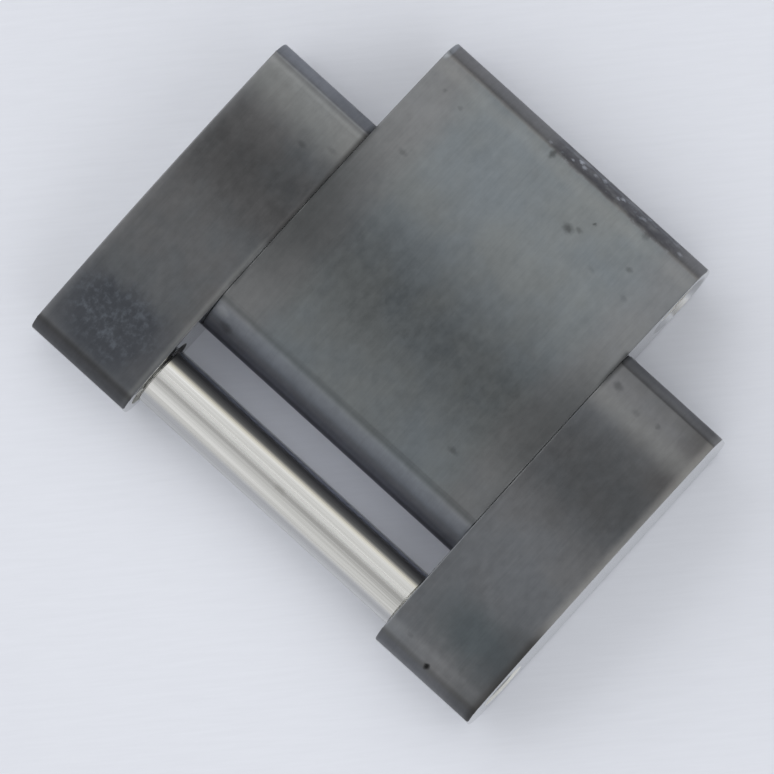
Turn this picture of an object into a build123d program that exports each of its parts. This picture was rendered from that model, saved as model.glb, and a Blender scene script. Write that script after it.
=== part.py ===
from build123d import *
import math
import os

# One removable link of a three-row watch bracelet. Lengths are in millimetres.
# +X runs across the bracelet along the pivot, +Y along the bracelet towards the end where
# the centre plate projects, and +Z out of the wrist. The underside lies in the plane Z = 0,
# and the origin is the middle of the link's outline on that plane.

# Driving dimensions of the three plates
outer_plate_width = 3.4
centre_plate_width = 9.2
plate_length = 10.3
plate_offset = 3.15
crest_height = 3.0
dome_radius = 28.5
edge_break = 0.05

# Each end of a plate is a nose: the dome stops at a crease, and the nose starts there at a
# tilt from the level, in degrees, and rounds down into the end wall

# The two ends of an outer plate are alike
outer_crease_inset = 0.38
outer_crease_tilt = 38
outer_lower_radius = 0.9

# The centre plate has a long soft nose at the rear. Its front is almost a half-round about
# the bore, so that it turns freely between the ears of the next link.
centre_rear_crease_inset = 1.0
centre_rear_crease_tilt = 24
centre_rear_lower_radius = 0.5
centre_front_crease_inset = 0.4
centre_front_crease_tilt = 37
centre_front_lower_radius = 1.2

# A lower rounding takes at most this share of the end wall that it is cut from
lower_rounding_share = 0.95

# Pivot: a steel tube that turns on a split pin, between the ears of the outer plates
pivot_height = 1.25
tube_axis_from_rear = 1.4
tube_diameter = 1.75
tube_end_play = 0.03
tube_edge_break = 0.05
pin_diameter = 1.2
pin_end_inset = 0.05
pin_tip_chamfer = 0.1
slit_length = 5.0
slit_width = 0.18

# Cross bore of the centre plate, which takes the tube of the next link
bore_axis_from_front = 1.25
bore_mouth_chamfer = 0.12

# Running clearances, on the radius
pin_in_ear_clearance = 0.02
pin_in_tube_clearance = 0.04
tube_in_bore_clearance = 0.05

# Machined details of the ears
spot_face_diameter = 2.2
spot_face_depth = 0.12
pin_hole_chamfer = 0.1

# Two hidden rods that hold the three plates together
fixing_rod_diameter = 1.0
fixing_rod_reach = 2.2
fixing_rod_end_room = 0.1
fixing_rod_chamfer = 0.1
fixing_rod_height = 1.35
fixing_rod_edge_distance = 1.55

# Cutting tools run past the faces that they open by this much
cut_overrun = 0.5

# Places that follow from the sizes above
link_width = centre_plate_width + outer_plate_width + outer_plate_width
link_length = plate_length + plate_offset
half_width = link_width / 2
half_centre = centre_plate_width / 2
outer_rear_y = -link_length / 2
outer_front_y = outer_rear_y + plate_length
centre_front_y = link_length / 2
centre_rear_y = centre_front_y - plate_length
pivot_y = outer_rear_y + tube_axis_from_rear
pin_hole_radius = pin_diameter / 2 + pin_in_ear_clearance
tube_bore_radius = pin_diameter / 2 + pin_in_tube_clearance
link_bore_radius = tube_diameter / 2 + tube_in_bore_clearance
link_bore_y = centre_front_y - bore_axis_from_front
link_pitch = link_bore_y - pivot_y
rear_rod_y = centre_rear_y + fixing_rod_edge_distance
front_rod_y = outer_front_y - fixing_rod_edge_distance


def dome_height(y):
    """Height of the common domed top above the underside, at a place along the bracelet."""
    return crest_height - dome_radius + math.sqrt(dome_radius**2 - y**2)


def point_on_circle(centre, radius, angle):
    """Point of a circle in the side view, its angle in degrees from the +Y direction."""
    turn = math.radians(angle)
    return (centre[0] + radius * math.cos(turn), centre[1] + radius * math.sin(turn))


def arc_on_circle(centre, radius, start_angle, end_angle):
    """Arc of a circle in the side view, from one angle to another."""
    middle_angle = (start_angle + end_angle) / 2
    angles = (start_angle, middle_angle, end_angle)
    return ThreePointArc(*(point_on_circle(centre, radius, angle) for angle in angles))


def nose_circle(end_y, inward, crease_inset, crease_tilt):
    """Crease place, centre and radius of a nose. Inward is +1 at the rear end, -1 at the front."""
    tilt = math.radians(crease_tilt)
    crease_y = end_y + inward * crease_inset
    radius = crease_inset / (1 - math.sin(tilt))
    centre = (end_y + inward * radius, dome_height(crease_y) - radius * math.cos(tilt))
    return crease_y, centre, radius


def dome_angle(y):
    """Angle of a place along the bracelet, seen from the centre of the dome's circle."""
    return 90 - math.degrees(math.asin(y / dome_radius))


def lower_rounding(wanted_radius, wall_height):
    """Radius of a lower end rounding, limited by the end wall above it."""
    return min(wanted_radius, lower_rounding_share * wall_height)


def plate_side_view(rear_y, front_y, rear_end, front_end):
    """Closed side outline of a plate: domed top, and at each end a nose, a wall and a rounding."""
    rear_inset, rear_tilt, heel_wanted = rear_end
    front_inset, front_tilt, toe_wanted = front_end
    rear_crease_y, rear_centre, rear_radius = nose_circle(rear_y, 1, rear_inset, rear_tilt)
    front_crease_y, front_centre, front_radius = nose_circle(front_y, -1, front_inset, front_tilt)

    rear_nose = arc_on_circle(rear_centre, rear_radius, 180, 90 + rear_tilt)
    dome_centre = (0, crest_height - dome_radius)
    dome = arc_on_circle(
        dome_centre, dome_radius, dome_angle(rear_crease_y), dome_angle(front_crease_y)
    )
    front_nose = arc_on_circle(front_centre, front_radius, 90 - front_tilt, 0)

    # The two lower roundings and the straight walls and underside between them
    toe_radius = lower_rounding(toe_wanted, front_centre[1])
    heel_radius = lower_rounding(heel_wanted, rear_centre[1])
    toe = arc_on_circle((front_y - toe_radius, toe_radius), toe_radius, 0, -90)
    heel = arc_on_circle((rear_y + heel_radius, heel_radius), heel_radius, -90, -180)
    front_wall = Line(front_nose @ 1, toe @ 0)
    underside = Line(toe @ 1, heel @ 0)
    rear_wall = Line(heel @ 1, rear_nose @ 0)
    return Wire([rear_nose, dome, front_nose, front_wall, toe, underside, heel, rear_wall])


def plate_blank(side_view, x_from, width):
    """Plate of the given side view, with its two long rims lightly broken."""
    blank = extrude(Plane.YZ * Face(side_view), amount=width, dir=Axis.X.direction)
    side_faces = blank.faces().sort_by(Axis.X)
    blank = chamfer(side_faces[0].edges() + side_faces[-1].edges(), edge_break)
    return Pos(x_from, 0, 0) * blank


def bar_across(radius, x_from, x_to, y, z):
    """Round bar whose axis runs across the bracelet."""
    bar = Rot(0, 90, 0) * Cylinder(radius, x_to - x_from)
    return Pos((x_from + x_to) / 2, y, z) * bar


def cone_across(radius_from, radius_to, x_from, x_to, y, z):
    """Cone whose axis runs across the bracelet."""
    cone = Rot(0, 90, 0) * Cone(radius_from, radius_to, x_to - x_from)
    return Pos((x_from + x_to) / 2, y, z) * cone


def fixing_rod_holes():
    """Holes for the two fixing rods: through the centre plate and blind in the outer plates."""
    reach = half_centre + fixing_rod_reach + fixing_rod_end_room
    radius = fixing_rod_diameter / 2
    rear_hole = bar_across(radius, -reach, reach, rear_rod_y, fixing_rod_height)
    front_hole = bar_across(radius, -reach, reach, front_rod_y, fixing_rod_height)
    return rear_hole + front_hole


def outer_plate():
    """Outer plate on the +X side, with the ear that carries the pivot."""
    end = (outer_crease_inset, outer_crease_tilt, outer_lower_radius)
    side_view = plate_side_view(outer_rear_y, outer_front_y, end, end)
    plate = plate_blank(side_view, half_centre, outer_plate_width)
    inner_face = half_centre
    pin_hole = bar_across(
        pin_hole_radius, inner_face - cut_overrun, half_width + cut_overrun, pivot_y, pivot_height
    )
    mouth = cone_across(
        pin_hole_radius,
        pin_hole_radius + pin_hole_chamfer + cut_overrun,
        half_width - pin_hole_chamfer,
        half_width + cut_overrun,
        pivot_y,
        pivot_height,
    )
    spot_face = bar_across(
        spot_face_diameter / 2,
        inner_face - cut_overrun,
        inner_face + spot_face_depth,
        pivot_y,
        pivot_height,
    )
    return plate - pin_hole - mouth - spot_face - fixing_rod_holes()


def centre_plate():
    """Centre plate, with the cross bore at its projecting front end."""
    rear_end = (centre_rear_crease_inset, centre_rear_crease_tilt, centre_rear_lower_radius)
    front_end = (centre_front_crease_inset, centre_front_crease_tilt, centre_front_lower_radius)
    side_view = plate_side_view(centre_rear_y, centre_front_y, rear_end, front_end)
    plate = plate_blank(side_view, -half_centre, centre_plate_width)
    reach = half_centre + cut_overrun
    link_bore = bar_across(link_bore_radius, -reach, reach, link_bore_y, pivot_height)
    right_mouth = cone_across(
        link_bore_radius,
        link_bore_radius + bore_mouth_chamfer + cut_overrun,
        half_centre - bore_mouth_chamfer,
        reach,
        link_bore_y,
        pivot_height,
    )
    left_mouth = mirror(right_mouth, about=Plane.YZ)
    return plate - link_bore - right_mouth - left_mouth - fixing_rod_holes()


def fixing_rod(y):
    """Plain rod pressed through the centre plate into both outer plates."""
    reach = half_centre + fixing_rod_reach
    rod = bar_across(fixing_rod_diameter / 2, -reach, reach, y, fixing_rod_height)
    return chamfer(rod.edges().filter_by(GeomType.CIRCLE), fixing_rod_chamfer)


def pivot_tube():
    """Steel tube that turns on the split pin and carries the next link."""
    reach = half_centre - tube_end_play
    body = bar_across(tube_diameter / 2, -reach, reach, pivot_y, pivot_height)
    body = chamfer(body.edges().filter_by(GeomType.CIRCLE), tube_edge_break)
    bore_reach = reach + cut_overrun
    return body - bar_across(tube_bore_radius, -bore_reach, bore_reach, pivot_y, pivot_height)


def split_pin():
    """Friction pin through both ears and the tube, slit at its +X end so that it springs."""
    reach = half_width - pin_end_inset
    pin = bar_across(pin_diameter / 2, -reach, reach, pivot_y, pivot_height)
    pin = chamfer(pin.edges().filter_by(GeomType.CIRCLE), pin_tip_chamfer)
    slit = Box(slit_length + cut_overrun, pin_diameter + cut_overrun, slit_width)
    slit_x = reach - slit_length + (slit_length + cut_overrun) / 2
    return pin - Pos(slit_x, pivot_y, pivot_height) * slit


right_outer = outer_plate()
nodes = {
    "right_outer_plate": right_outer,
    "left_outer_plate": mirror(right_outer, about=Plane.YZ),
    "centre_plate": centre_plate(),
    "rear_fixing_rod": fixing_rod(rear_rod_y),
    "front_fixing_rod": fixing_rod(front_rod_y),
    "pivot_tube": pivot_tube(),
    "split_pin": split_pin(),
}

os.makedirs("parts", exist_ok=True)
for node_name, shape in nodes.items():
    export_step(shape, f"parts/{node_name}.step")
    print(node_name, "solids", len(shape.solids()), "volume", round(shape.volume, 3))

print("link", round(link_width, 3), "wide", round(link_length, 3), "long", crest_height, "high")
print("pivot axis y", round(pivot_y, 3), "link bore y", round(link_bore_y, 3), "z", pivot_height)
print("link bore radius", round(link_bore_radius, 3), "pitch", round(link_pitch, 3))
print("gap to the next link", round(link_pitch - plate_length, 3))
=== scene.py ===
# %% [markdown]
# # A link of a watch bracelet
#
# The object is one removable link, 16 mm wide: a domed centre plate, two outer plates set
# back from it, and a bright tube that turns on a split pin between the ears of the outer
# plates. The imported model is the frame. It gives each piece its place and size, in metres,
# and nothing here moves or resizes it.

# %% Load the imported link
import bmesh
import bpy
import math
from mathutils import Matrix, Vector


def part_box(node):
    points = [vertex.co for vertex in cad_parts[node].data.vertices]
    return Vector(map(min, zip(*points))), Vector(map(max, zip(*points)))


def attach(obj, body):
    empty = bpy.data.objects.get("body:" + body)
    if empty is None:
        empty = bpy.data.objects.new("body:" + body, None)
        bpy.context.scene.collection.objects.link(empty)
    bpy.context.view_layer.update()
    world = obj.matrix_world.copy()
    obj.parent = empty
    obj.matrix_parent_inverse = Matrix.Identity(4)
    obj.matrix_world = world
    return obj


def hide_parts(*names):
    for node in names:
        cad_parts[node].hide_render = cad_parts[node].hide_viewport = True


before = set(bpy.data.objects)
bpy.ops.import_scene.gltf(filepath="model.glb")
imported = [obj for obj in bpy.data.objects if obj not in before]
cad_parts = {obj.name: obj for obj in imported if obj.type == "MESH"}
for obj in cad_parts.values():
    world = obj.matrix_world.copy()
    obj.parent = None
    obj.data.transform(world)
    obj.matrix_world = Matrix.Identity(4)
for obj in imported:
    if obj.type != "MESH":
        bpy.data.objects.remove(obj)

bpy.ops.object.select_all(action="DESELECT")
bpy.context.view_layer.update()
MM = 0.001

# %% [markdown]
# ## Working in edit mode
#
# Every new piece starts as a primitive and is shaped in edit mode, as by hand. Operators act
# on what is selected, so these small helpers select faces or edges by their place or
# direction before each operator runs.

# %% Helpers for modelling
same_place = 0.002 * MM
smooth_limit = math.radians(32)


def add_piece(name, add, **settings):
    """Adds a primitive at the origin, names it and opens it in edit mode."""
    bpy.ops.object.select_all(action="DESELECT")
    add(**settings)
    piece = bpy.context.object
    piece.name = name
    piece.data.name = name
    bpy.ops.object.mode_set(mode="EDIT")
    bpy.ops.mesh.select_mode(type="VERT")
    return piece


def select(piece, kind, wanted):
    """In edit mode, selects the edges or faces for which wanted is true, and counts them."""
    bpy.ops.mesh.select_mode(type={"edges": "EDGE", "faces": "FACE"}[kind])
    bpy.ops.mesh.select_all(action="DESELECT")
    mesh = bmesh.from_edit_mesh(piece.data)
    chosen = [element for element in getattr(mesh, kind) if wanted(element)]
    for element in chosen:
        element.select_set(True)
    mesh.select_flush_mode()
    bmesh.update_edit_mesh(piece.data)
    return len(chosen)


def close_to(value, target):
    """True if two lengths agree within two thousandths of a millimetre."""
    return abs(value - target) < same_place


def apply_modifier(piece, kind, **settings):
    """Adds a modifier with its settings and applies it."""
    bpy.ops.object.select_all(action="DESELECT")
    piece.select_set(True)
    bpy.context.view_layer.objects.active = piece
    modifier = piece.modifiers.new(kind.title(), kind)
    for setting, value in settings.items():
        setattr(modifier, setting, value)
    bpy.ops.object.modifier_apply(modifier=modifier.name)


def cut_away(piece, cutter):
    """Cuts the cutter's shape out of the piece, then deletes the cutter."""
    apply_modifier(piece, "BOOLEAN", object=cutter, operation="DIFFERENCE", solver="EXACT")
    bpy.data.objects.remove(cutter)


def finish_shape(piece):
    """Shades a piece smooth, keeps its large faces flat, and counts the edges left open."""
    bpy.ops.object.select_all(action="DESELECT")
    piece.select_set(True)
    bpy.context.view_layer.objects.active = piece
    bpy.ops.object.mode_set(mode="EDIT")
    open_edges = select(piece, "edges", lambda e: len(e.link_faces) != 2)
    bpy.ops.object.mode_set(mode="OBJECT")
    bpy.ops.object.shade_smooth_by_angle(angle=smooth_limit)
    apply_modifier(piece, "WEIGHTED_NORMAL", mode="FACE_AREA", keep_sharp=True)
    low = [min(v.co[i] for v in piece.data.vertices) / MM for i in range(3)]
    high = [max(v.co[i] for v in piece.data.vertices) / MM for i in range(3)]
    print(piece.name, len(piece.data.polygons), "faces", open_edges, "open edges",
          [round(x, 3) for x in low], [round(x, 3) for x in high])

# %% [markdown]
# ## The outline of a plate
#
# A plate is a bar of steel milled to one outline and cut to width. All three plates share
# one dome, so their tops line up. At each end the dome stops at a crease, and a nose rounds
# down into the end wall. The outline could be typed in as a list of points, but then its
# arcs are as coarse as the list. It is drawn with straight extrusions and spins of a single
# point instead, so every arc is a true arc, then filled and extruded to the plate's width.

# %% Driving sizes of the plates
dome_radius = 28.5 * MM
edge_break = 0.05 * MM
lower_rounding_share = 0.95
arc_step = math.radians(4)
dome_step = math.radians(0.5)
weld_distance = 0.0005 * MM
crease_segments = 4
rim_segments = 3

# Each end: how far the crease lies from the end, the nose's tilt there, the lower rounding
outer_end = {"inset": 0.38 * MM, "tilt": math.radians(38), "lower": 0.9 * MM}
outer_shape = {"rear": outer_end, "front": outer_end, "crease_break": 0.24 * MM}
centre_shape = {
    "rear": {"inset": 1.0 * MM, "tilt": math.radians(24), "lower": 0.5 * MM},
    "front": {"inset": 0.4 * MM, "tilt": math.radians(37), "lower": 1.2 * MM},
    "crease_break": 0.07 * MM,
}
crest_height = 3.0 * MM
print("the dome is", crest_height / MM, "mm high, with a radius of", dome_radius / MM, "mm")

# %% Draw and extrude an outline
def dome_height(y):
    """Height of the common dome over a place along the bracelet."""
    return crest_height - dome_radius + math.sqrt(dome_radius**2 - y**2)


def nose(end_y, inward, end):
    """The crease's place and the arc's centre of a nose. Inward is 1 at the rear end, else -1."""
    crease_y = end_y + inward * end["inset"]
    radius = end["inset"] / (1 - math.sin(end["tilt"]))
    centre_z = dome_height(crease_y) - radius * math.cos(end["tilt"])
    lower = min(end["lower"], lower_rounding_share * centre_z)
    return crease_y, end_y + inward * radius, centre_z, lower


def plate_outline(low, high, shape):
    """Lines, arcs and creases of a plate's side view, from its box and its two ends."""
    rear_crease, rear_y, rear_z, heel = nose(low[1], 1, shape["rear"])
    front_crease, front_y, front_z, toe = nose(high[1], -1, shape["front"])
    dome_turn = math.asin(front_crease / dome_radius) - math.asin(rear_crease / dome_radius)
    return {
        "start": (low[1], heel),
        "wall_rise": rear_z - heel,
        "rear_nose": (rear_y, rear_z, math.pi / 2 - shape["rear"]["tilt"]),
        "dome": (0, crest_height - dome_radius, dome_turn),
        "front_nose": (front_y, front_z, math.pi / 2 - shape["front"]["tilt"]),
        "wall_drop": front_z - toe,
        "toe": (high[1] - toe, toe, math.pi / 2),
        "sole": high[1] - toe - low[1] - heel,
        "heel": (low[1] + heel, heel, math.pi / 2),
        "creases": [(y, dome_height(y)) for y in (rear_crease, front_crease)],
    }


def draw_line(dy, dz):
    """Extrudes the selected point along a straight line."""
    bpy.ops.mesh.extrude_region_move(TRANSFORM_OT_translate={"value": (0, dy, dz)})


def draw_arc(x, arc, step):
    """Spins the selected point clockwise about an arc's centre, seen from +X."""
    y, z, turn = arc
    steps = max(2, math.ceil(turn / step))
    bpy.ops.mesh.spin(steps=steps, angle=turn, center=(x, y, z), axis=(1, 0, 0))


def extrude_plate(node, shape):
    """A plate in its node's box: outline, width, rounded creases and rounded rims."""
    low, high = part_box(node)
    outline = plate_outline(low, high, shape)
    name = f"{node}_shape"
    plate = add_piece(name, bpy.ops.mesh.primitive_plane_add, size=MM)
    bpy.ops.mesh.merge(type="CENTER")
    bpy.ops.transform.translate(value=(low[0], *outline["start"]))
    draw_line(0, outline["wall_rise"])
    draw_arc(low[0], outline["rear_nose"], arc_step)
    draw_arc(low[0], outline["dome"], dome_step)
    draw_arc(low[0], outline["front_nose"], arc_step)
    draw_line(0, -outline["wall_drop"])
    draw_arc(low[0], outline["toe"], arc_step)
    draw_line(-outline["sole"], 0)
    draw_arc(low[0], outline["heel"], arc_step)
    bpy.ops.mesh.select_all(action="SELECT")
    bpy.ops.mesh.remove_doubles(threshold=weld_distance)
    bpy.ops.mesh.select_all(action="SELECT")
    bpy.ops.mesh.edge_face_add()
    width = high[0] - low[0]
    bpy.ops.mesh.extrude_region_move(TRANSFORM_OT_translate={"value": (width, 0, 0)})
    bpy.ops.mesh.select_all(action="SELECT")
    bpy.ops.mesh.normals_make_consistent(inside=False)

    found = select(plate, "edges", lambda e: any(
        all(close_to(v.co.y, y) and close_to(v.co.z, z) for v in e.verts)
        for y, z in outline["creases"]))
    print(name, "crease edges", found)
    bpy.ops.mesh.bevel(offset=shape["crease_break"], segments=crease_segments, affect="EDGES")
    rims = select(plate, "edges", lambda e: close_to(e.verts[0].co.x, e.verts[1].co.x))
    bpy.ops.mesh.bevel(offset=edge_break, segments=rim_segments, affect="EDGES")
    print(name, "rim edges", rims)
    bpy.ops.object.mode_set(mode="OBJECT")
    return plate

# %% [markdown]
# ## Holes across the plates
#
# The cross bore of the centre plate and the pin holes of the ears are drilled. A cylinder of
# the drill's size, turned to lie across the bracelet, is cut out with a Boolean modifier. A
# cone could cut the countersinks too, but its edges meet those of the hole point for point,
# which a Boolean may leave open, so the rims are bevelled instead.

# %% Drills
drill_sides = 96
cut_overrun = 0.5 * MM
pin_diameter = 1.2 * MM
pin_in_ear_clearance = 0.02 * MM
pin_hole_radius = pin_diameter / 2 + pin_in_ear_clearance
pin_hole_chamfer = 0.1 * MM
spot_face_diameter = 2.2 * MM
spot_face_depth = 0.12 * MM
tube_in_bore_clearance = 0.05 * MM
bore_axis_from_front = 1.25 * MM
bore_mouth_chamfer = 0.12 * MM

centre_low, centre_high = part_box("centre_plate")
tube_low, tube_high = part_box("pivot_tube")
pivot_y = (tube_low[1] + tube_high[1]) / 2
pivot_z = (tube_low[2] + tube_high[2]) / 2
tube_radius = (tube_high[2] - tube_low[2]) / 2
link_bore_y = centre_high[1] - bore_axis_from_front
link_bore_radius = tube_radius + tube_in_bore_clearance


def bar_across(name, radius, x_from, x_to, y):
    """A round bar lying across the bracelet, at the height of the pivot."""
    low, high = sorted((x_from, x_to))
    bar = add_piece(name, bpy.ops.mesh.primitive_cylinder_add, vertices=drill_sides,
                    radius=radius, depth=high - low)
    bpy.ops.transform.translate(value=(0, 0, (high - low) / 2))
    bpy.ops.object.mode_set(mode="OBJECT")
    lying = Matrix.Rotation(math.pi / 2, 4, "Y")
    bar.matrix_world = Matrix.Translation((low, y, pivot_z)) @ lying
    bpy.ops.object.transform_apply(location=True, rotation=True, scale=True)
    return bar


def axis_distance(corner, y):
    """How far a corner lies from an axis across the bracelet, at the height of the pivot."""
    return math.hypot(corner.co.y - y, corner.co.z - pivot_z)


def countersink(plate, face_x, y, radius, depth):
    """Bevels the rim of a hole at the face it opens in."""
    bpy.ops.object.mode_set(mode="EDIT")
    rim = select(plate, "edges", lambda e: all(
        close_to(v.co.x, face_x) and close_to(axis_distance(v, y), radius) for v in e.verts))
    bpy.ops.mesh.bevel(offset=depth, segments=1, affect="EDGES")
    bpy.ops.object.mode_set(mode="OBJECT")
    print(plate.name, "mouth edges", rim)


def drill_ear(plate, inner_x, outer_x):
    """Cuts the pin hole, its countersunk mouth and the inner spot face out of an ear."""
    outward = math.copysign(1, outer_x)
    start = inner_x - outward * cut_overrun
    hole_end = outer_x + outward * cut_overrun
    spot_end = inner_x + outward * spot_face_depth
    cut_away(plate, bar_across("drill", pin_hole_radius, start, hole_end, pivot_y))
    cut_away(plate, bar_across("drill", spot_face_diameter / 2, start, spot_end, pivot_y))
    countersink(plate, outer_x, pivot_y, pin_hole_radius, pin_hole_chamfer)


def drill_centre(plate):
    """Cuts the cross bore for the next link's tube, countersunk at both ends."""
    ends = (centre_low[0] - cut_overrun, centre_high[0] + cut_overrun)
    cut_away(plate, bar_across("drill", link_bore_radius, *ends, link_bore_y))
    for face_x in (centre_low[0], centre_high[0]):
        countersink(plate, face_x, link_bore_y, link_bore_radius, bore_mouth_chamfer)

# %% Model the three plates
left_low, left_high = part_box("left_outer_plate")
left_plate = extrude_plate("left_outer_plate", outer_shape)
drill_ear(left_plate, left_high[0], left_low[0])
right_low, right_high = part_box("right_outer_plate")
right_plate = extrude_plate("right_outer_plate", outer_shape)
drill_ear(right_plate, right_low[0], right_high[0])
centre_plate = extrude_plate("centre_plate", centre_shape)
drill_centre(centre_plate)
for plate in (left_plate, right_plate, centre_plate):
    finish_shape(plate)

# %% [markdown]
# ## Tube and pin
#
# The tube is a length of drawn pipe, and the pin is a wire sawn down the middle at one end, so
# that its two legs spring apart and hold it in the ears. The tube's bore could be drilled like
# the holes in the ears, but a Boolean leaves two large end faces. Its end faces are inset,
# opened and bridged instead, which keeps them as rings of neat quads, and the rims round well.
# The slit has flat sides, so a box cuts it.

# %% Model the tube and the pin
pin_in_tube_clearance = 0.04 * MM
tube_bore_radius = pin_diameter / 2 + pin_in_tube_clearance
tube_wall = tube_radius - tube_bore_radius
tube_edge_break = 0.05 * MM
pin_tip_break = 0.1 * MM
slit_length = 5.0 * MM
slit_width = 0.18 * MM
sideways = 0.9


def faces_sideways(face):
    """True if a face looks across the bracelet."""
    return abs(face.normal.x) > sideways


def hollow_tube():
    """The pivot tube, bored through, with rounded rims."""
    tube = bar_across("pivot_tube_shape", tube_radius, tube_low[0], tube_high[0], pivot_y)
    bpy.ops.object.mode_set(mode="EDIT")
    select(tube, "faces", faces_sideways)
    bpy.ops.mesh.inset(thickness=tube_wall)
    bpy.ops.mesh.delete(type="ONLY_FACE")
    middle_of_wall = tube_radius - tube_wall / 2
    select(tube, "edges", lambda e: all(
        axis_distance(v, pivot_y) < middle_of_wall for v in e.verts))
    bpy.ops.mesh.bridge_edge_loops()
    rims = select(tube, "edges", lambda e: sum(faces_sideways(f) for f in e.link_faces) == 1)
    bpy.ops.mesh.bevel(offset=tube_edge_break, segments=rim_segments, affect="EDGES")
    bpy.ops.mesh.select_all(action="SELECT")
    bpy.ops.mesh.normals_make_consistent(inside=False)
    bpy.ops.object.mode_set(mode="OBJECT")
    print("tube rim edges", rims)
    return tube


def slit_pin():
    """The split pin: broken ends and a slit at the +X end."""
    low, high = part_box("split_pin")
    pin = bar_across("split_pin_shape", pin_diameter / 2, low[0], high[0], pivot_y)
    bpy.ops.object.mode_set(mode="EDIT")
    select(pin, "edges", lambda e: close_to(e.verts[0].co.x, e.verts[1].co.x))
    bpy.ops.mesh.bevel(offset=pin_tip_break, segments=2, affect="EDGES")
    bpy.ops.object.mode_set(mode="OBJECT")
    slit = add_piece("slit", bpy.ops.mesh.primitive_cube_add, size=1)
    length = slit_length + cut_overrun
    bpy.ops.transform.resize(value=(length, pin_diameter + cut_overrun, slit_width))
    bpy.ops.transform.translate(value=(high[0] - slit_length + length / 2, pivot_y, pivot_z))
    bpy.ops.object.mode_set(mode="OBJECT")
    cut_away(pin, slit)
    return pin


pivot_tube = hollow_tube()
split_pin = slit_pin()
finish_shape(pivot_tube)
finish_shape(split_pin)

# %% [markdown]
# ## Materials
#
# A finish could be a photograph wrapped round the piece, but nodes that make it from its
# sizes hold at any distance and need no file. One function turns a colour picked as sRGB hex
# into the linear values that shaders use, and one adds a node with its settings and links.
# Patterns and marks are placed in millimetres on Object coordinates, which is the frame that
# all the pieces share.

# %% Helpers for materials
grain_roughness = 0.6

# Most of a noise lies in the usual range, and nearly all of it in the wide one
usual_range = {"From Min": 0.35, "From Max": 0.65}
wide_range = {"From Min": 0.3, "From Max": 0.7}

# A Mix node has a pair of inputs A and B, and a result, for each kind of value. They share
# their names, so they go by number here.
number_a, number_b, colour_a, colour_b = 2, 3, 6, 7
mixed_number, mixed_colour = 0, 2


def linear(hex_colour):
    """Linear RGBA of an sRGB colour written as six hex digits."""
    channels = []
    for start in (0, 2, 4):
        value = int(hex_colour[start:start + 2], 16) / 255
        channels.append(value / 12.92 if value <= 0.04045 else ((value + 0.055) / 1.055) ** 2.4)
    return (*channels, 1)


def connect(tree, node, links):
    """Links nodes, by their first output, or sockets to a node's inputs."""
    for socket, source in links.items():
        output = source.outputs[0] if isinstance(source, bpy.types.Node) else source
        tree.links.new(output, node.inputs[socket])


def add_node(tree, kind, links=None, inputs=None, **settings):
    """Adds a node, sets its properties and inputs, and links nodes or sockets to its inputs."""
    node = tree.nodes.new(kind)
    for name, value in settings.items():
        setattr(node, name, value)
    for socket, value in (inputs or {}).items():
        node.inputs[socket].default_value = value
    connect(tree, node, links or {})
    return node


def new_material(name):
    """An empty metal: the material, its node tree, its shader and the place in millimetres."""
    material = bpy.data.materials.new(name)
    material.use_nodes = True
    tree = material.node_tree
    tree.nodes.clear()
    shader = add_node(tree, "ShaderNodeBsdfPrincipled", inputs={"Metallic": 1})
    add_node(tree, "ShaderNodeOutputMaterial", {"Surface": shader})
    place = add_node(tree, "ShaderNodeTexCoord").outputs["Object"]
    place = add_node(tree, "ShaderNodeVectorMath", {0: place}, {"Scale": 1 / MM},
                     operation="SCALE")
    return material, tree, shader, place


def grain(tree, place, lengths, detail=2, shift=0.0):
    """Noise whose cells have the given lengths along X, Y and Z. The shift picks other cells."""
    cells = add_node(tree, "ShaderNodeMapping", {"Vector": place},
                     {"Scale": [1 / length for length in lengths], "Location": (shift, shift, 0)})
    return add_node(tree, "ShaderNodeTexNoise", {"Vector": cells},
                    {"Scale": 1, "Detail": detail, "Roughness": grain_roughness})

# %% [markdown]
# ## Marks
#
# A mark is a stain, a scuff, a speck, some dirt, or painted light or shade: a mask with a
# place on the link, a colour and a roughness, laid over the bare steel. It could be painted
# on an image, but a mask made from places in millimetres stays sharp at any size. Where
# several masks are given they multiply, and where a mark has a ragged outline, noise moves
# the place about first.

# %% Masks for marks
def ripple(tree, place, size, reach):
    """The place, moved about by noise, so that what is drawn there gets a ragged outline."""
    noise = grain(tree, place, (size, size, size), 3, 4.4)
    moved = add_node(tree, "ShaderNodeVectorMath", {0: noise.outputs["Color"], 2: place},
                     {1: (2 * reach, 2 * reach, 2 * reach)}, operation="MULTIPLY_ADD")
    return add_node(tree, "ShaderNodeVectorMath", {0: moved}, {1: (reach, reach, reach)},
                    operation="SUBTRACT")


def past(tree, place, axis, start, full, strength=1.0):
    """Nothing before start along an axis, and full strength past a second place."""
    along = add_node(tree, "ShaderNodeSeparateXYZ", {0: place}).outputs[axis]
    low, high, values = (start, full, (0, 1)) if start < full else (full, start, (1, 0))
    return add_node(tree, "ShaderNodeMapRange", {"Value": along}, {
        "From Min": low, "From Max": high,
        "To Min": values[0] * strength, "To Max": values[1] * strength},
        interpolation_type="SMOOTHSTEP")


def stripe(tree, place, axis, middle, half_width, strength=1.0):
    """A soft stripe, full at a place along an axis and gone at half its width from there."""
    along = add_node(tree, "ShaderNodeSeparateXYZ", {0: place}).outputs[axis]
    away = add_node(tree, "ShaderNodeMath", {0: along}, {1: middle}, operation="SUBTRACT")
    away = add_node(tree, "ShaderNodeMath", {0: away}, operation="ABSOLUTE")
    return add_node(tree, "ShaderNodeMapRange", {"Value": away},
                    {"From Max": half_width, "To Min": strength, "To Max": 0},
                    interpolation_type="SMOOTHSTEP")


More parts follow.
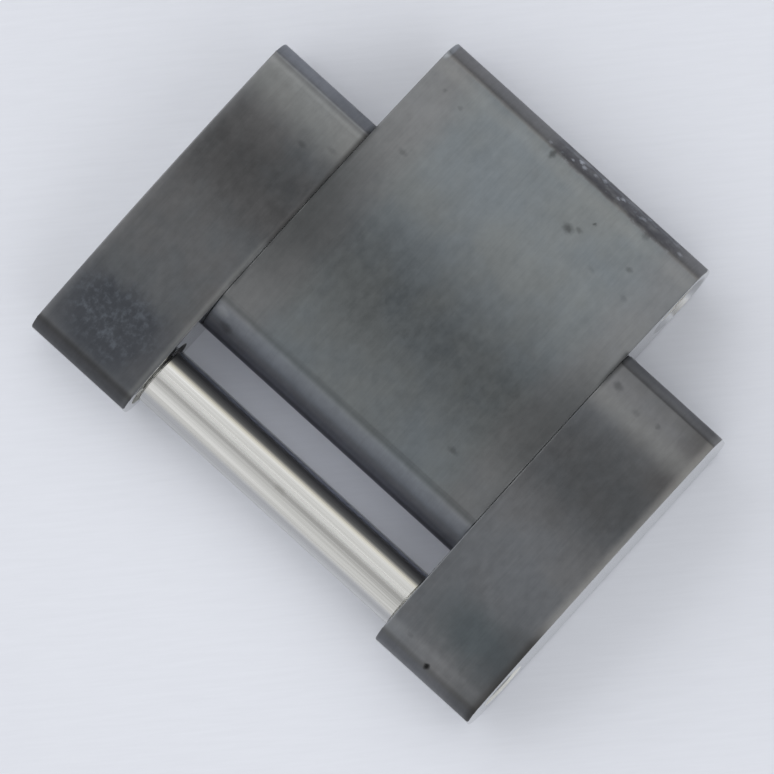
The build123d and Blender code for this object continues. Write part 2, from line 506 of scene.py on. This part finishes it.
def patch(tree, place, middle, size, soft, strength=1.0):
    """An ellipse of X and Y that fades over the soft share of its reach."""
    centred = add_node(tree, "ShaderNodeMapping", {"Vector": place}, {
        "Scale": (1 / size[0], 1 / size[1], 0),
        "Location": (-middle[0] / size[0], -middle[1] / size[1], 0)})
    reach = add_node(tree, "ShaderNodeVectorMath", {0: centred}, operation="LENGTH")
    return add_node(tree, "ShaderNodeMapRange", {"Value": reach.outputs["Value"]},
                    {"From Min": 1 - soft, "From Max": 1, "To Min": strength, "To Max": 0},
                    interpolation_type="SMOOTHSTEP")


def specks(tree, place, spots):
    """Small specks: where each lies, its reach along X and along Y, and its strength."""
    ragged = ripple(tree, place, 0.13, 0.07)
    mask = None
    for x, y, along_x, along_y, strength in spots:
        spot = patch(tree, ragged, (x, y), (along_x, along_y), 0.85, strength)
        mask = spot if mask is None else add_node(
            tree, "ShaderNodeMath", {0: mask, 1: spot}, operation="MAXIMUM")
    return mask


def clumps(tree, place, lengths, shift, low, high, strength=1.0):
    """Clumps of the given lengths: what a noise has above a low level, full past a high one."""
    noise = grain(tree, place, lengths, 3, shift)
    return add_node(tree, "ShaderNodeMapRange", {"Value": noise},
                    {"From Min": low, "From Max": high, "To Min": 0, "To Max": strength},
                    interpolation_type="SMOOTHSTEP")


def lay_marks(tree, colour, gloss, marks):
    """Lays marks over a colour and a roughness: masks that meet, a hex colour, a roughness."""
    for masks, hex_colour, roughness in marks:
        where = masks[0]
        for mask in masks[1:]:
            where = add_node(tree, "ShaderNodeMath", {0: where, 1: mask}, operation="MULTIPLY")
        colour = add_node(tree, "ShaderNodeMix", {0: where, colour_a: colour},
                          {colour_b: linear(hex_colour)},
                          data_type="RGBA").outputs[mixed_colour]
        gloss = add_node(tree, "ShaderNodeMix", {0: where, number_a: gloss},
                         {number_b: roughness}, data_type="FLOAT").outputs[mixed_number]
    return colour, gloss

# %% [markdown]
# ## Satin steel of the plates
#
# The tops are stainless steel brushed along the bracelet with a fine belt. The brushing
# spreads a reflection across the bracelet and keeps it short along it, so the shader is
# anisotropic, with its tangent across the lines. Real belt lines are about 0.02 mm wide,
# finer than a pixel here, so they are drawn at 0.06 mm to show at all. Years of wear have
# left a soft mottle, stains over the pivot, small dark specks, dirt in the seams, and dirt
# and bright crumbs past the front crease of the centre plate. Light and shade are painted
# on as marks too: painted shade over the pivot, in the middles, on the noses, in the
# creases, in the seams and along rims, and painted highlights and reflections before the
# creases, on the noses and along rims.

# %% The satin steel itself
belt_lines = (0.06, 2.0, 2.0)
belt_line_depth = 0.0004 * MM
belt_line_share = 0.6
mottle_lengths = (0.22, 0.33, 0.22)
cloud_lengths = (0.9, 1.17, 0.9)
cloud_share = 0.9
tint_lengths = (3.0, 3.0, 3.0)
satin_roughness = (0.29, 0.315)
relief_range = {"From Min": 0.9, "From Max": 1.6}
satin_shades = (0.9, 1.1)
satin_anisotropy = 0.85


def satin_steel(name, cool, warm, marks):
    """Stainless steel with a satin, belt-brushed finish: grey, with a soft streaky sheen."""
    material, tree, shader, place = new_material(name)
    lines = grain(tree, place, belt_lines)
    mottle = grain(tree, place, mottle_lengths, 3, 5.1)
    cloud = grain(tree, place, cloud_lengths, 3, 6.3)
    tint = clumps(tree, place, tint_lengths, 3.7, 0.35, 0.65)
    steel = add_node(tree, "ShaderNodeMix", {0: tint},
                     {colour_a: linear(cool), colour_b: linear(warm)},
                     data_type="RGBA").outputs[mixed_colour]
    gloss = add_node(tree, "ShaderNodeMapRange", {"Value": mottle}, {
        **usual_range, "To Min": satin_roughness[0], "To Max": satin_roughness[1]})
    steel, gloss = lay_marks(tree, steel, gloss, marks(tree, place))

    # The fine relief is the mottle with a share of the lines and of the clouds
    fine = add_node(tree, "ShaderNodeMath", {0: lines, 2: mottle}, {1: belt_line_share},
                    operation="MULTIPLY_ADD")
    fine = add_node(tree, "ShaderNodeMath", {0: cloud, 2: fine}, {1: cloud_share},
                    operation="MULTIPLY_ADD")
    shade = add_node(tree, "ShaderNodeMapRange", {"Value": fine}, {
        **relief_range, "To Min": satin_shades[0], "To Max": satin_shades[1]})
    shaded = add_node(tree, "ShaderNodeVectorMath", {0: steel, "Scale": shade}, operation="SCALE")
    across = add_node(tree, "ShaderNodeVectorTransform", inputs={"Vector": (1, 0, 0)},
                      vector_type="VECTOR", convert_from="OBJECT", convert_to="WORLD")
    bump = add_node(tree, "ShaderNodeBump", {"Height": fine}, {"Distance": belt_line_depth})
    shader.inputs["Anisotropic"].default_value = satin_anisotropy
    connect(tree, shader, {
        "Base Color": shaded, "Roughness": gloss, "Tangent": across, "Normal": bump})
    return material

# %% Marks of the outer plates
def seam_dirt_and_shade(tree, place, x, strength, front_strength):
    """Dirt and painted shade along the seam between two plates, with more of it towards the
    front.
    """
    seam = [stripe(tree, place, "X", x, 0.16), past(tree, place, "Y", -3.75, -3.45),
            past(tree, place, "Y", 3.65, 3.5)]
    broken = clumps(tree, place, (0.7, 0.9, 0.7), 5.2, 0.3, 0.6, strength)
    # Broken dirt along the seam, and painted shade that darkens towards the front
    return [([*seam, broken], "38393A", 0.7),
            ([*seam, past(tree, place, "Y", 1.8, 3.1, front_strength)], "2A2A2B", 0.7)]


def rear_nose_shade(tree, place, strength):
    """The dull rear nose of an outer plate, darkened by painted shade, with a line of painted
    shade in its crease.
    """
    line_strength = 0.6 * strength
    return [([past(tree, place, "Y", -6.15, -6.4, strength)], "5B5A59", 0.8),
            ([stripe(tree, place, "Y", -6.36, 0.14, line_strength)], "2F3032", 0.8)]


def left_marks(tree, place):
    """A blotchy blue-grey stain over the pivot, partly painted shade, and painted light and shade
    in the middle, at the front and along the rims.
    """
    ragged = ripple(tree, ripple(tree, place, 0.9, 0.4), 0.25, 0.1)
    blots = clumps(tree, place, (0.16, 0.2, 0.16), 8.3, 0.42, 0.76, 0.4)
    return [
        # Painted shade in the middle, then a painted sheen at the front
        ([patch(tree, place, (-6.3, 0.5), (3.4, 1.6), 0.9, 0.2)], "4C4D4E", 0.33),
        ([past(tree, place, "Y", 1.5, 2.6, 0.62)], "888A89", 0.33),
        # A painted reflection on the nose, and painted shade in its crease
        ([past(tree, place, "Y", 3.15, 3.28, 0.8)], "AFB2B9", 0.8),
        ([stripe(tree, place, "Y", 3.15, 0.14, 0.4)], "57585B", 0.6),
        # The stain, partly painted shade: a wash over the whole ear, a darker patch and pale
        # blots in it
        ([past(tree, ragged, "Y", -3.8, -4.6, 0.58)], "4A4D53", 0.45),
        ([patch(tree, ragged, (-6.4, -5.2), (1.8, 1.5), 0.5, 0.65)], "404349", 0.5),
        ([patch(tree, ragged, (-6.4, -5.05), (1.9, 1.4), 0.6), blots], "757C85", 0.5),
        # The inner rim, with a painted highlight behind the middle and painted shade ahead of it
        ([stripe(tree, place, "X", -4.7, 0.14, 0.35), past(tree, place, "Y", -0.6, -1.0)],
         "8E908F", 0.35),
        ([past(tree, place, "X", -4.8, -4.62), past(tree, place, "Y", -1.0, -0.4, 0.5)],
         "3D3A38", 0.6),
        # A painted highlight on the outer rim
        ([past(tree, place, "X", -7.72, -8.0, 0.3)], "8E8F92", 0.5),
        # Specks, dirt and painted shade in the seam, and painted shade on the rear nose
        ([specks(tree, place, [(-5.76, 1.83, 0.22, 0.14, 0.4), (-5.05, 2.25, 0.2, 0.12, 0.25),
                               (-6.9, 0.4, 0.12, 0.1, 0.2)])], "2F3031", 0.6),
        *seam_dirt_and_shade(tree, place, -4.6, 0.5, 0),
        *rear_nose_shade(tree, place, 0.5)]


def right_marks(tree, place):
    """A faint blue-green stain with painted shade over the pivot, painted light and shade at the
    front and along the rim, a nick at the rear.
    """
    ragged = ripple(tree, place, 0.8, 0.35)
    outer_side = past(tree, ragged, "X", 6.6, 7.8)
    rim = past(tree, place, "X", 7.7, 7.97)
    return [
        # Painted shade in the middle, then a darker outer side and a painted sheen at the front
        ([patch(tree, place, (6.3, 0.6), (3.4, 2.5), 0.9, 0.42)], "4C4E4F", 0.35),
        ([outer_side, past(tree, place, "Y", 0.6, 1.6, 0.5)], "4A4644", 0.4),
        ([stripe(tree, place, "Y", 2.25, 0.6, 0.45)], "909190", 0.33),
        # Painted shade on the nose, a painted highlight in its crease and painted shade at its
        # edge
        ([past(tree, place, "Y", 2.7, 3.1, 0.35)], "5C5C5C", 0.8),
        ([stripe(tree, place, "Y", 3.33, 0.16, 0.5)], "9A9A9A", 0.8),
        ([past(tree, place, "Y", 3.4, 3.55, 0.2)], "3A3A3C", 0.8),
        # The stain, partly painted shade, a painted highlight band behind it, and painted shade
        # on the outer side
        ([patch(tree, ragged, (6.8, -4.85), (2.4, 1.2), 0.8, 0.9)], "565D61", 0.42),
        ([stripe(tree, place, "Y", -6.0, 0.22, 0.2)], "9C9EA1", 0.4),
        ([outer_side, past(tree, place, "Y", -3.4, -4.2, 0.45)], "45484B", 0.5),
        # The outer rim: painted shade over the pivot and a painted highlight ahead of it
        ([rim, past(tree, place, "Y", -3.0, -4.0, 0.6)], "3E3B38", 0.7),
        ([rim, past(tree, place, "Y", -4.0, -3.0, 0.5)], "9C9B98", 0.5),
        # Specks, dirt and painted shade in the seam, painted shade on the rear nose, and the nick
        # over it
        ([specks(tree, place, [(4.98, 2.72, 0.24, 0.17, 0.4), (5.82, 2.5, 0.2, 0.12, 0.22),
                               (6.51, 2.62, 0.12, 0.1, 0.3), (5.3, -6.0, 0.14, 0.1, 0.25)])],
         "2F3031", 0.6),
        *seam_dirt_and_shade(tree, place, 4.6, 0.3, 0.5),
        *rear_nose_shade(tree, place, 0.35),
        ([specks(tree, place, [(6.19, -6.33, 0.13, 0.13, 0.9)])], "1F1F1F", 0.7)]

# %% Marks of the centre plate
def centre_marks(tree, place):
    """Warmer sides, painted light and shade on both noses, dirt and crumbs past the front crease,
    and specks.
    """
    wandering = ripple(tree, place, 1.6, 0.6)
    ragged = ripple(tree, place, 0.22, 0.08)
    dirt_and_sheen_stretch = [past(tree, wandering, "X", -1.2, -0.4), past(tree, wandering, "X", 4.1, 3.4)]
    dirty = [past(tree, ragged, "Y", 6.2, 6.38), *dirt_and_sheen_stretch]
    dirt = clumps(tree, place, (0.5, 0.3, 0.3), 7.7, 0.3, 0.6, 0.55)
    crumbs = clumps(tree, place, (0.15, 0.1, 0.5), 2.2, 0.53, 0.66, 0.7)
    clusters = clumps(tree, place, (0.7, 0.4, 0.4), 1.9, 0.48, 0.58)
    return [
        # The warmer sides, darker in the middle, and a faint painted highlight before the front
        # crease
        ([past(tree, wandering, "X", -2.7, -3.9, 0.7)], "757576", 0.32),
        ([past(tree, wandering, "X", 2.9, 4.0, 0.6)], "757576", 0.32),
        ([patch(tree, place, (-4.6, 1.0), (1.7, 3.8), 0.9, 0.7)], "565859", 0.35),
        ([patch(tree, place, (4.6, 1.0), (1.6, 2.6), 0.9, 0.5)], "565859", 0.35),
        ([stripe(tree, place, "Y", 6.0, 0.32, 0.1)], "A3A39F", 0.3),
        # The rear nose, duller towards its end, with painted shade and reflections, and on the
        # wall below it
        ([past(tree, place, "Y", -2.6, -2.9, 0.8)], "6C7077", 0.45),
        ([past(tree, place, "Y", -3.12, -3.35, 0.85)], "A3A6B1", 0.6),
        ([past(tree, place, "Y", -3.42, -3.52, 0.75), past(tree, place, "Z", 1.0, 1.6)],
         "35323A", 0.7),
        ([past(tree, place, "Y", -3.4, -3.5, 0.9), past(tree, place, "Z", 1.5, 1.1)],
         "C0C6D6", 0.5),
        # Painted shade in the rear crease
        ([stripe(tree, place, "Y", -2.63, 0.16, 0.55)], "3F4244", 0.4),
        # A lighter patch and a painted shadow of the outer plate at the left end of the rear nose
        ([patch(tree, ragged, (-4.35, -2.95), (0.3, 0.2), 0.8, 0.3)], "A9ABAE", 0.5),
        ([patch(tree, ragged, (-4.0, -3.2), (0.3, 0.15), 0.8, 0.4)], "3A3A3D", 0.6),
        # The front nose, painted reflections on it, dirt and crumbs over part of it, and a
        # lighter left corner
        ([past(tree, ragged, "Y", 6.2, 6.38, 0.5)], "85817D", 0.75),
        ([past(tree, ragged, "Y", 6.27, 6.4, 0.5)], "AAAAAC", 0.8),
        ([*dirty, dirt], "67676E", 0.8),
        ([*dirty, clusters, crumbs], "9FA3A8", 0.6),
        # A painted bluish reflection along the front edge
        ([*dirt_and_sheen_stretch, stripe(tree, ragged, "Y", 6.63, 0.05, 0.3)], "A9ACB4", 0.6),
        ([specks(tree, place, [
            (0.1, 6.57, 0.12, 0.06, 0.9), (0.26, 6.5, 0.14, 0.07, 0.8),
            (-0.87, 6.39, 0.1, 0.05, 0.6), (-0.1, 6.44, 0.09, 0.05, 0.7),
            (0.9, 6.61, 0.12, 0.05, 0.6), (0.62, 6.55, 0.1, 0.05, 0.5),
            (1.51, 6.5, 0.1, 0.06, 0.7), (1.62, 6.57, 0.12, 0.05, 0.8),
            (3.76, 6.5, 0.12, 0.06, 0.7), (2.4, 6.55, 0.1, 0.05, 0.4)])], "D4D7DC", 0.8),
        ([patch(tree, place, (-4.54, 6.45), (0.13, 0.36), 0.5, 0.5)], "B2B8BF", 0.5),
        # Dark specks on the dome, and dirt and painted shade in both seams
        ([specks(tree, place, [
            (1.08, 4.97, 0.24, 0.2, 0.5), (1.32, 5.14, 0.16, 0.12, 0.35),
            (1.53, 5.53, 0.08, 0.08, 0.5), (-3.28, 5.44, 0.1, 0.1, 0.2),
            (-3.91, 5.49, 0.09, 0.09, 0.2), (-3.59, 3.5, 0.22, 0.12, 0.25),
            (3.06, 5.25, 0.16, 0.12, 0.3), (2.31, 4.56, 0.2, 0.1, 0.15),
            (3.47, 4.57, 0.2, 0.1, 0.15), (2.86, -1.55, 0.26, 0.14, 0.4),
            (-0.61, 6.19, 0.13, 0.2, 0.5), (2.75, 6.22, 0.17, 0.14, 0.3)])], "2B2A2A", 0.6),
        *seam_dirt_and_shade(tree, place, -4.6, 0.5, 0),
        *seam_dirt_and_shade(tree, place, 4.6, 0.3, 0.5)]

# %% Make the three satin steels
left_steel = satin_steel("satin_steel_left", "66696C", "6A6A6B", left_marks)
right_steel = satin_steel("satin_steel_right", "707377", "727375", right_marks)
centre_steel = satin_steel("satin_steel_centre", "70767A", "737778", centre_marks)
for material in (left_steel, right_steel, centre_steel):
    print(material.name, len(material.node_tree.nodes), "nodes")

# %% [markdown]
# ## Polished walls and drilled holes
#
# The side walls were ground and polished after the plates were cut to width. Polished steel
# mirrors what stands beside it: seen from above, a wall mirrors the paper and almost
# vanishes. A flat mirror would do for that, but it looks like chrome up close, so fine
# grinding lines along the bracelet vary its colour and its gloss. The holes are as drilled,
# dull enough to catch the light that falls in at their mouths, with lines that run round.

# %% Polished and drilled steel
grinding_lines = (9, 6, 0.3)
drilling_lines = (0.2, 1.2, 1.2)


def wall_steel(name, light, dark, roughness, line_lengths, marks=None):
    """Stainless steel, ground or drilled: bright, with fine tool lines in colour and gloss."""
    material, tree, shader, place = new_material(name)
    lines = grain(tree, place, line_lengths, 3)
    tone = add_node(tree, "ShaderNodeMapRange", {"Value": lines}, usual_range)
    steel = add_node(tree, "ShaderNodeMix", {0: tone},
                     {colour_a: linear(dark), colour_b: linear(light)},
                     data_type="RGBA").outputs[mixed_colour]
    gloss = add_node(tree, "ShaderNodeMapRange", {"Value": lines}, {
        **wide_range, "To Min": roughness[0], "To Max": roughness[1]})
    if marks:
        steel, gloss = lay_marks(tree, steel, gloss, marks(tree, place))
    connect(tree, shader, {"Base Color": steel, "Roughness": gloss})
    return material


def spot_face_shade(tree, place):
    """Painted shadow in the spot faces of the ears, at the front of the tube's ends."""
    return [([past(tree, place, "Y", -4.95, -4.75), past(tree, place, "Y", -3.8, -4.1),
              past(tree, place, "X", 6.0, 5.5), past(tree, place, "X", -6.0, -5.5)],
             "9C9C9E", 0.9)]


polished_walls = wall_steel("polished_steel_walls", "D0D1D1", "C4C5C5", (0.1, 0.16),
                            grinding_lines)
drilled_holes = wall_steel("drilled_steel_holes", "F2F2F0", "E6E6E4", (0.92, 1.0),
                           drilling_lines, spot_face_shade)
for material in (polished_walls, drilled_holes):
    print(material.name, len(material.node_tree.nodes), "nodes")

# %% [markdown]
# ## Drawn steel of the tube and the pin
#
# The tube and the pin were drawn through a die, which leaves bright steel with fine lines
# along the length. A plain bright metal would show one hard highlight, but the lines blur a
# reflection around the tube, so its tangent runs around it, and its long streaks come from
# noise stretched along X. The tube's crown has a painted highlight, and its rear and its
# front flank have painted shade.

# %% Drawn steel
draw_lines = (9, 0.06, 0.06)
draw_line_depth = 0.0008 * MM
draw_bands = (14, 0.22, 0.22)
streak_range = {"From Min": 0.75, "From Max": 1.25}
drawn_roughness_spread = 0.04
drawn_anisotropy = 0.5


def drawn_steel(name, light, dark, roughness, marks):
    """Stainless steel, drawn bright: a streaked highlight along its length."""
    material, tree, shader, place = new_material(name)

    # The streaks are narrow lines and wide bands together
    lines = grain(tree, place, draw_lines, 3)
    bands = grain(tree, place, draw_bands, 1, 1.4)
    tone = add_node(tree, "ShaderNodeMath", {0: lines, 1: bands}, operation="ADD")
    tone = add_node(tree, "ShaderNodeMapRange", {"Value": tone}, streak_range)
    steel = add_node(tree, "ShaderNodeMix", {0: tone},
                     {colour_a: linear(dark), colour_b: linear(light)},
                     data_type="RGBA").outputs[mixed_colour]
    gloss = add_node(tree, "ShaderNodeMapRange", {"Value": lines}, {
        "To Min": roughness - drawn_roughness_spread,
        "To Max": roughness + drawn_roughness_spread})
    steel, gloss = lay_marks(tree, steel, gloss, marks(tree, place))
    around = add_node(tree, "ShaderNodeTangent", direction_type="RADIAL", axis="X")
    bump = add_node(tree, "ShaderNodeBump", {"Height": lines}, {"Distance": draw_line_depth})
    shader.inputs["Anisotropic"].default_value = drawn_anisotropy
    connect(tree, shader, {
        "Base Color": steel, "Roughness": gloss, "Tangent": around, "Normal": bump})
    return material


def tube_marks(tree, place):
    """A painted highlight on the crown, painted shade behind it and on the front flank, a
    yellowish front, and a dull spot.
    """
    top = past(tree, place, "Z", 1.4, 1.7)
    # Painted shade on the front flank
    painted_flank_shade = [past(tree, place, "Y", -4.95, -4.81, 0.75),
                   past(tree, place, "Y", -4.52, -4.64)]
    return [([top, stripe(tree, place, "Y", -5.31, 0.16)], "FFFFFC", 0.3),
            ([top, stripe(tree, place, "Y", -5.48, 0.1, 0.15)], "A9A8A6", 0.25),
            ([top, stripe(tree, place, "Y", -6.03, 0.2, 0.5)], "8E8E90", 0.25),
            ([top, stripe(tree, place, "Y", -4.92, 0.12, 0.45)], "CFC8AE", 0.25),
            ([top, *painted_flank_shade], "343436", 0.4),
            ([specks(tree, place, [(0.03, -5.46, 0.3, 0.12, 0.3)])], "6A6861", 0.5)]


def pin_marks(tree, place):
    """A dull spot on the pin's slit end."""
    return [([specks(tree, place, [(7.9, -5.2, 0.1, 0.1, 0.5)])], "6A6861", 0.5)]


tube_steel = drawn_steel("drawn_steel_tube", "DCDCDA", "BCBCB9", 0.2, tube_marks)
pin_steel = drawn_steel("drawn_steel_pin", "BEBEBB", "9A9A97", 0.25, pin_marks)
for material in (tube_steel, pin_steel):
    print(material.name, len(material.node_tree.nodes), "nodes")

# %% [markdown]
# ## Which face gets which finish
#
# The top of each plate is satin, and so is the rear wall of the centre plate. The other walls,
# the underside and the chamfered mouths of the bore are polished, and the holes are as
# drilled. The faces could be picked one by one, but then a changed size would spoil the
# choice, so they are found by the way they face and by their distance from the axes of the
# holes. The tube, the pin and the two rods, which stay inside the plates, have one finish each.

# %% Dress the pieces
def dress(piece, material):
    """Gives a piece one material all over."""
    piece.data.materials.clear()
    piece.data.materials.append(material)


polish_slope = math.cos(math.radians(78))
bore_mouth_radius = link_bore_radius + bore_mouth_chamfer
spot_face_radius = spot_face_diameter / 2


def around_axis(face, y, radius):
    """True if all corners of a face lie within a radius of an axis across the bracelet."""
    return all(axis_distance(v, y) < radius + same_place for v in face.verts)


def is_wall(face, bright_from):
    """True for a side, for a bore mouth, and for a steep face past a place along Y."""
    steep = face.normal.z < polish_slope and face.calc_center_median().y > bright_from
    return steep or faces_sideways(face) or around_axis(face, link_bore_y, bore_mouth_radius)


def is_hole(face):
    """True for the faces inside a pin hole, a spot face or the cross bore."""
    return (around_axis(face, pivot_y, spot_face_radius)
            or around_axis(face, link_bore_y, link_bore_radius))


def dress_plate(plate, top, bright_from):
    """Satin all over, then polished walls, then drilled holes, each in a slot of its own."""
    dress(plate, top)
    plate.data.materials.append(polished_walls)
    plate.data.materials.append(drilled_holes)
    bpy.ops.object.select_all(action="DESELECT")
    bpy.context.view_layer.objects.active = plate
    bpy.ops.object.mode_set(mode="EDIT")
    walls = select(plate, "faces", lambda f: is_wall(f, bright_from))
    plate.active_material_index = 1
    bpy.ops.object.material_slot_assign()
    holes = select(plate, "faces", is_hole)
    plate.active_material_index = 2
    bpy.ops.object.material_slot_assign()
    bpy.ops.object.mode_set(mode="OBJECT")
    print(plate.name, "wall faces", walls, "hole faces", holes)


# Steep faces are polished past a place along Y: all round an outer plate, but only on the
# front half of the centre plate
outer_bright_from = -math.inf
centre_bright_from = 0

for plate, node, top, bright_from in (
    (left_plate, "left_outer_plate", left_steel, outer_bright_from),
    (right_plate, "right_outer_plate", right_steel, outer_bright_from),
    (centre_plate, "centre_plate", centre_steel, centre_bright_from),
):
    dress_plate(plate, top, bright_from)
    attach(plate, "link")
    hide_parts(node)
dress(pivot_tube, tube_steel)
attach(pivot_tube, "tube")
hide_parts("pivot_tube")
dress(split_pin, pin_steel)
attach(split_pin, "pin")
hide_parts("split_pin")
for node in ("rear_fixing_rod", "front_fixing_rod"):
    dress(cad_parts[node], pin_steel)

# %% [markdown]
# ## Paper, light and camera
#
# The link lies on a sheet of white paper, whose fibres run across the picture. The light is
# that of a bright room. Lamps would put hard shapes in the steel, so it is painted into the
# world instead, by direction: a dark place overhead where the camera is, a ceiling that is
# brighter towards the front of the link, walls that are brighter on the left, and a darker
# horizon. On a level surface it adds up to about 1, so a matt colour renders about as it is
# written.

# %% Paper
paper_size = 3
paper_drop = 0.02 * MM
fibre_lengths = (1.6, 0.12, 1)
fibre_depth = 0.002 * MM
fibre_turn = math.radians(-47.4)

# Uncoated paper: matt and faintly blue, with fibres that show only as a soft grain
paper_material, tree, shader, place = new_material("white_paper")
turned = add_node(tree, "ShaderNodeMapping", {"Vector": place},
                  {"Rotation": (0, 0, fibre_turn)})
fibres = grain(tree, turned, fibre_lengths, 4)
fibre_tone = add_node(tree, "ShaderNodeMapRange", {"Value": fibres}, wide_range)
paper_colour = add_node(tree, "ShaderNodeMix", {0: fibre_tone},
                        {colour_a: linear("DDE0E8"), colour_b: linear("E0E3EB")},
                        data_type="RGBA").outputs[mixed_colour]
fibre_bump = add_node(tree, "ShaderNodeBump", {"Height": fibres}, {"Distance": fibre_depth})
connect(tree, shader, {"Base Color": paper_colour, "Normal": fibre_bump})
shader.inputs["Metallic"].default_value = 0
shader.inputs["Roughness"].default_value = 0.9
shader.inputs["Specular IOR Level"].default_value = 0.2
bpy.ops.object.select_all(action="DESELECT")
bpy.ops.mesh.primitive_plane_add(size=paper_size, location=(0, 0, -paper_drop))
paper = bpy.context.object
paper.name = "paper"
dress(paper, paper_material)
print("the paper lies", paper_drop / MM, "mm below the link")

# %% World light
sky_level = 1.37

# The ceiling from the rear to the front of the link: a direction's Y, and how bright it is there
sky_along = (
    (-1.0, 0.85), (-0.67, 0.78), (-0.45, 0.6), (-0.38, 0.5), (-0.33, 0.38), (-0.27, 0.38),
    (-0.2, 0.58), (-0.14, 0.62), (-0.09, 0.6), (-0.05, 0.42), (-0.01, 0.2), (0.03, 0.06),
    (0.08, 0.06), (0.12, 0.28), (0.17, 0.62), (0.23, 0.9), (0.3, 1.02), (0.36, 1.03),
    (0.5, 0.95), (0.7, 1.0), (1.0, 1.0),
)

# The walls from left to right, the horizon from rear to front, and how high it reaches there.
# They change over directions up to slope_reach. To either side, the walls start to take over
# from the ceiling at wall_start, and have done so at wall_full.
wall_levels = (1.5, 1.15)
horizon_levels = (0.95, 0.05)
horizon_tops = (0.3, 0.75)
horizon_foot = 0.05
slope_reach = 0.7
wall_start, wall_full = 0.3, 0.6

world = bpy.data.worlds.new("bright_room")
bpy.context.scene.world = world
world.use_nodes = True
tree = world.node_tree
tree.nodes.clear()
direction = add_node(tree, "ShaderNodeTexCoord").outputs["Generated"]
parts = add_node(tree, "ShaderNodeSeparateXYZ", {0: direction})
along = add_node(tree, "ShaderNodeMapRange", {"Value": parts.outputs["Y"]},
                 {"From Min": -1, "From Max": 1})
ceiling = add_node(tree, "ShaderNodeValToRGB", {0: along})
stops = ceiling.color_ramp.elements

# A new ramp has a stop at each end, so only those between them are added
for turn, level in sky_along[1:-1]:
    stops.new((turn + 1) / 2)
for stop, (turn, level) in zip(stops, sky_along):
    stop.color = (level, level, level, 1)
walls, horizon, horizon_top = (
    add_node(tree, "ShaderNodeMapRange", {"Value": parts.outputs[axis]}, {
        "From Min": -slope_reach, "From Max": slope_reach,
        "To Min": levels[0], "To Max": levels[1]})
    for axis, levels in (("X", wall_levels), ("Y", horizon_levels), ("Y", horizon_tops)))
aside = add_node(tree, "ShaderNodeMath", {0: parts.outputs["X"]}, operation="ABSOLUTE")
aside = add_node(tree, "ShaderNodeMapRange", {"Value": aside},
                 {"From Min": wall_start, "From Max": wall_full},
                 interpolation_type="SMOOTHSTEP")
room = add_node(tree, "ShaderNodeMix", {0: aside, number_a: ceiling, number_b: walls},
                data_type="FLOAT")
height = add_node(tree, "ShaderNodeMapRange",
                  {"Value": parts.outputs["Z"], "From Max": horizon_top, "To Min": horizon},
                  {"From Min": horizon_foot}, interpolation_type="SMOOTHSTEP")
strength = add_node(tree, "ShaderNodeMath", {0: room, 1: height}, operation="MULTIPLY")
strength = add_node(tree, "ShaderNodeMath", {0: strength}, {1: sky_level}, operation="MULTIPLY")
light = add_node(tree, "ShaderNodeBackground", {"Strength": strength})
add_node(tree, "ShaderNodeOutputWorld", {"Surface": light})
print("the world light has", len(stops), "levels of ceiling")

# %% Camera
# It looks almost straight down from half a metre away, and shows 37.02 pixels a millimetre
back = Vector((0.09, -0.015, 1)).normalized()
image_up = Vector((-0.677, 0.736, 0))
camera_distance = 500 * MM
aim_point = Vector((0.255, -1.46, 1.6)) * MM
camera_roll = -0.0043
picture_scale = 37.02 / MM
picture_width = 774
sensor_width = 36

camera_data = bpy.data.cameras.new("camera")
camera = bpy.data.objects.new("camera", camera_data)
bpy.context.collection.objects.link(camera)
camera_data.sensor_width = sensor_width
camera_data.lens = picture_scale * camera_distance * sensor_width / picture_width
up = (image_up - image_up.dot(back) * back).normalized()
right = up.cross(back)
turn = Matrix((right, up, back)).transposed().to_4x4()
roll = Matrix.Rotation(camera_roll, 4, "Z")
camera.matrix_world = Matrix.Translation(aim_point + camera_distance * back) @ turn @ roll
bpy.context.scene.camera = camera
bpy.context.scene.view_settings.view_transform = "Standard"
print("lens", round(camera_data.lens, 1), "mm")
